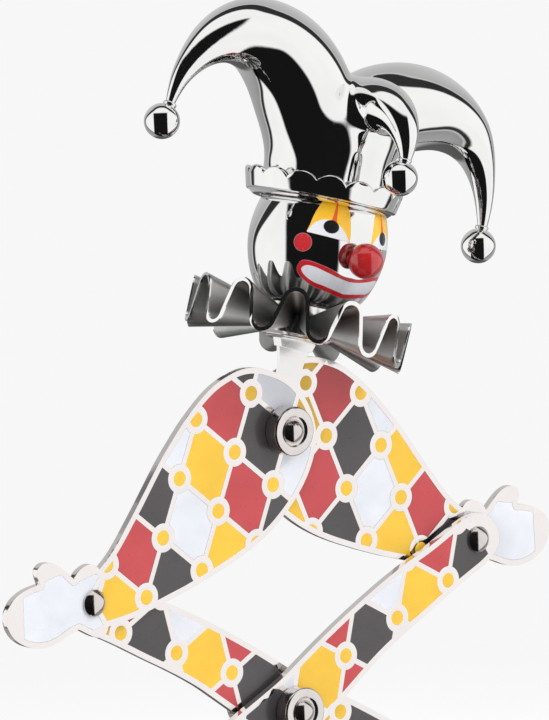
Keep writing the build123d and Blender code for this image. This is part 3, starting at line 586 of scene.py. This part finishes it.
def enamel(name, base):
    material, shader, pos = start(name)
    clouds = noise(pos, scale=0.13, detail=2.0)
    mottle = noise(pos, scale=1.6, detail=4.0, roughness=0.6)
    specks = noise(pos, scale=9.0, detail=2.0)
    pale = tuple(min(1.0, channel * 1.05 + 0.006) for channel in base)
    colour = mix_colour(clouds.ramp(0.3, 0.7), scaled(base, 0.94), pale)
    colour = mix_colour(mottle.ramp(0.55, 0.85) * 0.10, colour, scaled(base, 0.75))
    # painted shade: the fill darkens where it turns away from the plate's face at its metal rim,
    # standing in for the shadow in the gap between enamel and metal
    normal_y = separate(node("NewGeometry").outputs["Normal"])[1]
    colour = mix_colour(normal_y.abs().ramp(0.96, 0.6) * 0.75, colour, scaled(base, 0.22))
    uneven = bump(clouds * 0.6 + mottle * 0.3 + specks * 0.5 * 0.1, strength=0.18, depth=0.02)
    put(shader, {
        "Base Color": colour, "Roughness": mottle * 0.10 + 0.24, "IOR": 1.5,
        "Coat Weight": 0.35, "Coat Roughness": mottle * 0.05 + 0.05,
        "Normal": uneven, "Coat Normal": uneven})
    return material


CHROME = (0.90, 0.895, 0.89)
CHROME_ROUGH, CHROME_SMUDGE = 0.028, 0.05


def chrome():
    material, shader, pos = start("chrome_mirror")
    clouds = noise(pos, scale=0.11, roughness=0.55, distortion=0.4)
    smudges = noise(pos, scale=0.55, detail=4.0, roughness=0.6)
    hairlines = noise(stretched(pos, scale=(0.5, 1.4, 3.2), turn=24.0), scale=2.6, roughness=0.6)
    put(shader, {
        "Base Color": mix_colour(clouds.ramp(0.3, 0.75), scaled(CHROME, 0.965), CHROME),
        "Metallic": 1.0,
        "Roughness": smudges.ramp(0.5, 0.8) * CHROME_SMUDGE + hairlines * 0.012 + CHROME_ROUGH,
        "Normal": bump(smudges * 0.5 + clouds * 0.8 + hairlines * 0.04,
                       strength=0.10, depth=0.035)})
    return material


# The painted face is laid out in millimetres: distance round the head and height.
FACE_RADIUS, FACE_TURN = 13.5, math.radians(1.5)
EYE_OFFSET = 6.75                  # eye centre from the middle of the face
EYE_SPAN = (-5.2, 5.2, 34.0, 48.0)
MOUTH_SPAN = (0.0, 13.0, 25.0, 35.0)
# distance from the eye's centre, height
EYE_ARCH = [
    (-4.25, 38.0), (-4.0, 40.3), (-3.75, 42.2), (-3.3, 43.9), (-2.5, 45.0), (-1.2, 45.9),
    (0.0, 46.2), (1.4, 45.9), (2.5, 45.0), (3.3, 43.5), (3.95, 41.5), (4.3, 39.7), (4.6, 38.6),
    (4.9, 37.0)]
EYE_WHITE = [
    (-4.3, 37.2), (-3.6, 38.6), (-2.5, 39.95), (-1.0, 41.1), (0.7, 41.5), (2.3, 41.15),
    (3.4, 40.35), (4.3, 39.0), (4.9, 37.6)]
# distance from the middle of the face, height
LIPS_TOP = [
    (0, 31.25), (2.3, 31.35), (4.1, 31.85), (7.5, 32.6), (10.3, 32.95), (11.4, 32.75),
    (12.0, 32.0), (12.25, 30.9), (12.4, 29.0)]
LIPS_BOTTOM = [
    (0, 27.1), (2.6, 27.4), (5.9, 27.9), (8.8, 28.45), (11.1, 29.6), (12.0, 30.4), (12.25, 31.0),
    (12.4, 32.6)]
TEETH_TOP = [
    (0, 30.45), (2.5, 30.7), (6.2, 31.45), (8.9, 32.0), (10.3, 31.98), (11.0, 31.6),
    (11.3, 31.1), (11.5, 29.6)]
TEETH_BOTTOM = [
    (0, 27.95), (2.5, 28.25), (5.8, 28.75), (8.3, 29.15), (10.5, 30.15), (11.1, 30.75),
    (11.3, 31.2), (11.5, 32.6)]


def inside(distance, edge=0.05):
    """1 where distance is positive, with a thin soft edge."""
    return distance.ramp(-edge, edge)


def painted_face():
    """Chrome head with the painted clown face, the same on both sides of its middle."""
    material, shader, pos = start("chrome_painted_face")
    x, y, z = head_coordinates(pos)
    x = x - HEAD_SHIFT
    across = ((x.atan2(y * -1.0) + FACE_TURN) * FACE_RADIUS).abs()
    front = (y * -1.0).ramp(0.0, 0.5)

    # eye: an arch on a sloping floor, cut off at both sides
    from_eye = across - EYE_OFFSET
    arch = curve(from_eye, EYE_ARCH, EYE_SPAN)
    floor_line = from_eye * 0.055 + 38.12
    eye = (inside(arch - z) * inside(z - floor_line) * inside(from_eye + 4.1)
           * inside(4.6 - from_eye))
    white = inside(curve(from_eye, EYE_WHITE, EYE_SPAN) - z)
    # pupil: an ellipse, 1.56 by 1.31 in its half axes
    pupil_x, pupil_z = (from_eye - 0.05) / 1.56, (z - 40.2) / 1.31
    pupil = inside(1.0 - (pupil_x * pupil_x + pupil_z * pupil_z).sqrt(), edge=0.035)
    # stripe above the pupil, narrowing and leaning as it rises
    rise = (z - 41.35) / 3.5
    stripe = (inside((0.52 - rise * 0.36) - (from_eye + 0.35 + rise * 0.22).abs())
              * inside(z - 41.1) * inside(44.9 - z))
    # cheek: a disc of radius 1.78
    cheek_x, cheek_z = across - 11.75, z - 36.25
    cheek = inside(1.78 - (cheek_x * cheek_x + cheek_z * cheek_z).sqrt())
    lips_top, lips_bottom, teeth_top, teeth_bottom = [
        curve(across, points, MOUTH_SPAN)
        for points in (LIPS_TOP, LIPS_BOTTOM, TEETH_TOP, TEETH_BOTTOM)]
    lips = inside(lips_top - z) * inside(z - lips_bottom)
    teeth = inside(teeth_top - z) * inside(z - teeth_bottom)
    paint = eye.max(cheek).max(lips) * front

    wear = noise(pos, scale=1.3, detail=4.0, roughness=0.6)
    clouds = noise(pos, scale=0.11, roughness=0.55)
    colour = mix_colour(clouds.ramp(0.3, 0.75), (0.87, 0.865, 0.86), CHROME)
    tone = wear * 0.16 + 0.90
    # mask and paint colour, each laid over those before
    for mask, rgb in ((paint, (0.50, 0.010, 0.018)),
                      (eye, (0.86, 0.48, 0.022)),
                      (eye * white, (0.70, 0.71, 0.76)),
                      (eye * stripe, (0.72, 0.10, 0.028)),
                      (pupil * eye, (0.012, 0.011, 0.012)),
                      (teeth, (0.66, 0.67, 0.72))):
        worn = mix_colour(tone.ramp(0.9, 1.06), scaled(rgb, 0.88), rgb)
        colour = mix_colour(mask, colour, worn)

    smudges = noise(pos, scale=0.55, detail=4.0, roughness=0.6).ramp(0.5, 0.8) * CHROME_SMUDGE
    put(shader, {
        "Base Color": colour, "Metallic": 1.0 - paint,
        "Roughness": (smudges + CHROME_ROUGH) * (1.0 - paint) + (wear * 0.12 + 0.20) * paint,
        "Coat Weight": paint * 0.25, "Coat Roughness": 0.08,
        "Normal": bump(paint * 1.0 + wear * 0.06, strength=0.35, depth=0.02)})
    return material


RUFF_TILT, RUFF_HEIGHT = math.radians(3.0), 21.2
RUFF_RIM = (21.55, 21.75)          # radii over which the satin turns to polish


def ruff_metal():
    """Cast satin faces with painted shade darkening the folds, and polished rims."""
    material, shader, pos = start("satin_ruff")
    x, y, z = head_coordinates(pos)
    # undo the ruff's small tilt about its own centre
    x = x * math.cos(RUFF_TILT) - (z - RUFF_HEIGHT) * math.sin(RUFF_TILT)
    rim = (x * x + y * y).sqrt().ramp(*RUFF_RIM)
    grain = noise(pos, scale=3.2, detail=5.0, roughness=0.65)
    clouds = noise(pos, scale=0.35, roughness=0.55)
    brushed = noise(stretched(pos, scale=(0.35, 0.35, 4.0), turn=12.0),
                    scale=1.6, detail=4.0, roughness=0.7)
    # painted shade: ambient occlusion darkens the satin colour in the folds between the pleats
    occlusion = node("AmbientOcclusion", {"Distance": 0.007}, samples=6)
    fold_shade_openness = Scalar(occlusion.outputs["AO"]).ramp(0.15, 0.95)
    satin = mix_colour(fold_shade_openness, (0.20, 0.20, 0.198), (0.68, 0.675, 0.665))
    satin = mix_colour(clouds.ramp(0.3, 0.7) * 0.35, satin, (0.40, 0.40, 0.396))
    put(shader, {
        "Base Color": mix_colour(rim, satin, (0.93, 0.925, 0.92)), "Metallic": 1.0,
        "Roughness": (grain * 0.16 + brushed * 0.14 + 0.25) * (1.0 - rim) + rim * 0.10,
        "Normal": bump(grain * 0.6 + brushed * 0.5, strength=0.22, depth=0.03)})
    return material


def turned_nickel(name, base, rough):
    """Lathe-turned metal with fine rings."""
    material, shader, pos = start(name)
    mottle = noise(pos, scale=1.4, detail=4.0, roughness=0.6)
    clouds = noise(pos, scale=0.3, detail=2.0)
    rings = noise(stretched(pos, scale=(0.05, 9.0, 0.05)), scale=1.3, detail=2.0)
    put(shader, {
        "Base Color": mix_colour(clouds.ramp(0.3, 0.7), scaled(base, 0.93), base),
        "Metallic": 1.0, "Roughness": mottle * 0.10 + rings * 0.06 + rough,
        "Normal": bump(rings * 0.5 + mottle * 0.3, strength=0.15, depth=0.012)})
    return material


def red_lacquer():
    material, shader, pos = start("nose_red_lacquer")
    clouds = noise(pos, scale=0.25)
    fine = noise(pos, scale=2.2, detail=4.0, roughness=0.6)
    uneven = bump(clouds * 0.6 + fine * 0.3, strength=0.12, depth=0.03)
    put(shader, {
        "Base Color": mix_colour(clouds.ramp(0.3, 0.7),
                                 (0.30, 0.004, 0.006), (0.40, 0.008, 0.010)),
        "Roughness": fine * 0.08 + 0.20, "IOR": 1.55,
        "Coat Weight": 1.0, "Coat Roughness": fine.ramp(0.5, 0.8) * 0.03 + 0.03,
        "Normal": uneven, "Coat Normal": uneven})
    return material


def polished_bell():
    material, shader, pos = start("bell_polished")
    rings = noise(stretched(pos, scale=(0.03, 0.03, 5.0)), scale=1.4, roughness=0.6)
    mottle = noise(pos, scale=0.5, detail=4.0, roughness=0.6, distortion=0.2)
    wear = noise(pos, scale=0.12, roughness=0.6)
    put(shader, {
        "Base Color": mix_colour(wear.ramp(0.35, 0.7), (0.80, 0.775, 0.76), (0.88, 0.865, 0.855)),
        "Metallic": 1.0, "Roughness": rings * 0.10 + mottle.ramp(0.45, 0.8) * 0.08 + 0.07,
        "Normal": bump(rings * 0.6 + mottle * 0.2, strength=0.12, depth=0.02)})
    return material


def steel():
    material, shader, pos = start("worm_steel")
    mottle = noise(pos, scale=0.8, detail=4.0, roughness=0.65)
    lines = noise(stretched(pos, scale=(1.2, 1.2, 0.12)), scale=3.0, roughness=0.6)
    put(shader, {
        "Base Color": mix_colour(mottle.ramp(0.35, 0.75), (0.46, 0.46, 0.465), (0.66, 0.655, 0.65)),
        "Metallic": 1.0, "Roughness": mottle * 0.14 + lines * 0.10 + 0.132,
        "Normal": bump(lines * 0.5 + mottle * 0.4, strength=0.2, depth=0.015)})
    return material


def moulded(name, base):
    material, shader, pos = start(name)
    grain = noise(pos, scale=6.0, detail=4.0, roughness=0.6)
    clouds = noise(pos, scale=0.4)
    put(shader, {
        "Base Color": mix_colour(clouds.ramp(0.3, 0.7), scaled(base, 0.85), base),
        "Roughness": grain * 0.2 + 0.38,
        "Normal": bump(grain, strength=0.25, depth=0.02)})
    return material


PLATE = (0.93, 0.885, 0.865)
materials = {
    "plate_l": nickel("nickel_plate_left", PLATE, rough=0.13, turn=32.0),
    "plate_r": nickel("nickel_plate_right", PLATE, rough=0.13, turn=-32.0),
    "red": enamel("enamel_red", (0.42, 0.036, 0.042)),
    "yellow": enamel("enamel_yellow", (0.70, 0.42, 0.020)),
    "dark": enamel("enamel_dark", (0.040, 0.036, 0.038)),
    "grey": enamel("enamel_grey", (0.60, 0.615, 0.66)),
    "chrome": chrome(),
    "face": painted_face(),
    "ruff": ruff_metal(),
    "neck": nickel("nickel_neck", (0.90, 0.885, 0.875), rough=0.16, turn=80.0),
    "turned": turned_nickel("nickel_turned", (0.80, 0.755, 0.735), rough=0.10),
    "rivet": turned_nickel("nickel_rivet", (0.74, 0.69, 0.665), rough=0.05),
    "nose": red_lacquer(),
    "bell": polished_bell(),
    "steel": steel(),
    "bush": moulded("bush_plastic_dark", (0.035, 0.035, 0.037)),
    "ring": moulded("seat_ring_plastic", (0.06, 0.06, 0.062)),
}

# ---------------------------------------------------------------- finishing the CAD pieces
REPLACED = ("hat", "head_shell", "nose", "hat_balls", "hat_band")
PLATE_EDGE = dict(width=0.10, angle=40.0)
BELL_EDGE = dict(width=0.2, segments=3)
# piece: material, bevel
LOOKS = {
    "arm_left": ("plate_l", PLATE_EDGE), "arm_right": ("plate_r", PLATE_EDGE),
    "link_front": ("plate_l", PLATE_EDGE), "link_back": ("plate_r", PLATE_EDGE),
    "leg_left": ("plate_l", PLATE_EDGE), "leg_right": ("plate_r", PLATE_EDGE),
    "ruff": ("ruff", dict(width=0.16, angle=50.0)), "neck": ("neck", dict(width=0.12)),
    "bell_collar": ("bell", BELL_EDGE), "bell_bracket": ("bell", BELL_EDGE),
    "seat_ring": ("ring", dict(width=0.12)), "worm": ("steel", dict(width=0.0)),
    "worm_bush": ("bush", dict(width=0.15)),
}


def look(name):
    if name.startswith("enamel_"):
        return name.rsplit("_", 1)[1], dict(width=0.09, angle=40.0)
    if name.startswith("boss_"):
        return "turned", dict(width=0.18, segments=3)
    return LOOKS.get(name, ("rivet", dict(width=0.08)))


def finish_edges(piece, width, angle=32.0, segments=2):
    """Smooth shading and a bevel; width in millimetres, angle in degrees."""
    mesh = piece.data
    mesh.polygons.foreach_set("use_smooth", [True] * len(mesh.polygons))
    mesh.update()
    weld = piece.modifiers.new("weld", "WELD")
    weld.merge_threshold = 2e-6
    if width:
        bevel = piece.modifiers.new("bevel", "BEVEL")
        bevel.limit_method = "ANGLE"
        bevel.angle_limit = math.radians(angle)
        bevel.width = width * MM
        bevel.segments = segments
        bevel.use_clamp_overlap = True
        bevel.miter_outer = "MITER_ARC"
    weighted = piece.modifiers.new("weighted", "WEIGHTED_NORMAL")
    weighted.mode = "FACE_AREA"
    weighted.weight = 50
    weighted.keep_sharp = False


def paint_piece(piece, key):
    piece.data.materials.clear()
    piece.data.materials.append(materials[key])


for name, piece in NODES.items():
    if name in REPLACED:
        paint_piece(piece, "chrome")
        continue
    key, edges = look(name)
    paint_piece(piece, key)
    finish_edges(piece, **edges)

for piece, key in ((hat, "chrome"), (head, "face"), (balls, "chrome"), (band, "chrome"),
                   (nose, "nose")):
    paint_piece(piece, key)

# ---------------------------------------------------------------- camera
AZIMUTH, ELEVATION, ROLL = math.radians(-38.66), math.radians(7.61), math.radians(-2.19)
LENS, SENSOR = 400.0, 36.0
VIEW_WIDTH = 141.010576            # seen across the frame's longer side, at the target
CAMERA_TARGET = Vector((0.0, -11.0, 151.456))
SHIFT_LEFT, SHIFT_UP = 1.919311, 13.748531

level_right = Vector((math.cos(AZIMUTH), math.sin(AZIMUTH), 0.0))
back = Vector((math.sin(AZIMUTH) * math.cos(ELEVATION),
               -math.cos(AZIMUTH) * math.cos(ELEVATION), math.sin(ELEVATION)))
level_up = back.cross(level_right)


def build_camera():
    right = math.cos(ROLL) * level_right + math.sin(ROLL) * level_up
    up = -math.sin(ROLL) * level_right + math.cos(ROLL) * level_up
    data = bpy.data.cameras.new("camera")
    data.lens = LENS
    data.sensor_width = SENSOR
    data.sensor_fit = "AUTO"
    data.clip_start, data.clip_end = 0.05, 60.0
    camera = bpy.data.objects.new("camera", data)
    scene.collection.objects.link(camera)
    place = CAMERA_TARGET + back * (LENS / SENSOR * VIEW_WIDTH) - right * SHIFT_LEFT + up * SHIFT_UP
    axes = Matrix((right, up, back)).transposed().to_4x4()
    camera.matrix_world = Matrix.Translation(place * MM) @ axes
    scene.camera = camera


build_camera()

# ---------------------------------------------------------------- studio
PALE = 0.93                        # brightness of the backdrop and of the far floor


def build_world():
    """White surround with a dark card near the camera, seen only in reflections."""
    world = bpy.data.worlds.new("studio")
    scene.world = world
    open_tree(world)
    direction = node("TexCoord").outputs["Generated"]
    dx, dy, dz = separate(direction)
    toward, side, rise = [dx * v[0] + dy * v[1] + dz * v[2] for v in (back, level_right, level_up)]

    # place in the unit disc of a mirror ball seen by the camera
    half = ((toward + 1.0) * 2.0).max(0.0004).sqrt()
    ball_x, ball_y = side / half, rise / half
    radius = (ball_x * ball_x + ball_y * ball_y).sqrt().max(0.001)

    # dark card: left, right, bottom and top edges
    card = (ball_x.smooth(-0.47, -0.43) * (1.0 - ball_x.smooth(0.29, 0.33))
            * ball_y.smooth(-0.92, -0.86) * (1.0 - ball_y.smooth(0.405, 0.465)))
    # grey rear beyond an edge radius that changes with steepness, and a dark seam inside it
    steep = ball_y.abs() / radius
    edge = steep.smooth(0.02, 0.85) * -0.125 + steep.smooth(0.80, 1.0) * 0.035 + 0.925
    beyond = radius - edge
    seam_width = ball_y.smooth(0.0, 0.55) * 0.075 + 0.030
    rear = beyond.smooth(-0.004, 0.018)
    seam = (beyond + seam_width).smooth(-0.016, 0.006) * (1.0 - beyond.smooth(-0.008, 0.012))
    grey = ball_y.ramp(-0.5, 0.6) * 0.17 + 0.30 + beyond.max(0.0) * 0.9
    low = (ball_y * -1.0).smooth(0.76, 0.88)

    # darken in turn by card, seam, rear and the low part, then vary a little
    level = 1.0 - card * 0.992
    level = level * (1.0 - seam * 0.97)
    level = level * (1.0 - rear) + rear * grey
    level = level * (1.0 - low * 0.75)
    level = level * (noise(direction, scale=1.4, detail=2.0) * 0.16 + 0.92)

    # diffuse light is brighter from above; the camera sees a flat backdrop
    diffuse = dz.ramp(-1.0, 1.0) * 0.42 + 0.56
    path = node("LightPath")
    glossy, seen = Scalar(path.outputs["Is Glossy Ray"]), Scalar(path.outputs["Is Camera Ray"])
    strength = glossy * level + (1.0 - glossy) * diffuse
    strength = seen * PALE + (1.0 - seen) * strength
    background = node("Background", {"Color": (1.0, 1.0, 1.0), "Strength": strength})
    node("OutputWorld", {"Surface": background.outputs[0]})


LIGHT_TARGET = (0, 0, 120)
# name, place in millimetres, diameter in metres, power in watts
SOFTBOXES = [("key", (500, -900, 900), 0.7, 9.0),
             ("fill", (-900, -500, 500), 0.9, 4.0),
             ("rear", (200, 900, 900), 0.9, 5.0)]


def softbox(name, place, size, power):
    data = bpy.data.lights.new(name, "AREA")
    data.shape, data.size, data.energy = "DISK", size, power
    light = bpy.data.objects.new(name, data)
    scene.collection.objects.link(light)
    start_point, aim = Vector(place) * MM, Vector(LIGHT_TARGET) * MM
    light.location = start_point
    light.rotation_mode = "QUATERNION"
    light.rotation_quaternion = (aim - start_point).to_track_quat("-Z", "Y")
    light.visible_glossy = False
    light.visible_camera = False


FLOOR_RADII, FLOOR_SEGMENTS = (0.2, 0.5, 1.0, 2.0, 4.0, 8.0, 20.0), 64   # radii in metres
FLOOR_Z = cad_lo.z - 0.0002
FLOOR_FADE = (0.16, 0.62)          # metres from the centre


def floor_material():
    """Pale matt floor that fades into the surround."""
    material = bpy.data.materials.new("floor_pale")
    open_tree(material)
    pos = node("TexCoord").outputs["Object"]
    x, y, _ = separate(pos)
    fade = (x * x + y * y).sqrt().smooth(*FLOOR_FADE)
    grain = noise(pos, scale=300.0, roughness=0.6)
    colour = mix_colour(grain.ramp(0.3, 0.7), (0.80, 0.80, 0.80), (0.84, 0.84, 0.84))
    matt = node("BsdfDiffuse", {"Color": colour})
    glow = node("Emission", {"Color": (1.0, 1.0, 1.0), "Strength": PALE})
    mixed = node("MixShader", {0: fade, 1: matt.outputs[0], 2: glow.outputs[0]})
    node("OutputMaterial", {"Surface": mixed.outputs[0]})
    return material


def build_floor():
    count = FLOOR_SEGMENTS
    verts = [(0.0, 0.0, FLOOR_Z)]
    for radius in FLOOR_RADII:
        for i in range(count):
            angle = 2 * math.pi * i / count
            verts.append((radius * math.cos(angle), radius * math.sin(angle), FLOOR_Z))
    faces = [(0, 1 + i, 1 + (i + 1) % count) for i in range(count)]
    for k in range(len(FLOOR_RADII) - 1):
        inner, outer = 1 + k * count, 1 + (k + 1) * count
        for i in range(count):
            j = (i + 1) % count
            faces.append((inner + i, outer + i, outer + j, inner + j))
    mesh = bpy.data.meshes.new("floor")
    mesh.from_pydata(verts, [], faces)
    floor = bpy.data.objects.new("floor", mesh)
    scene.collection.objects.link(floor)
    floor.visible_glossy = False
    mesh.materials.append(floor_material())


build_world()
for box in SOFTBOXES:
    softbox(*box)
build_floor()

scene.view_settings.view_transform = "Standard"
scene.view_settings.look = "None"
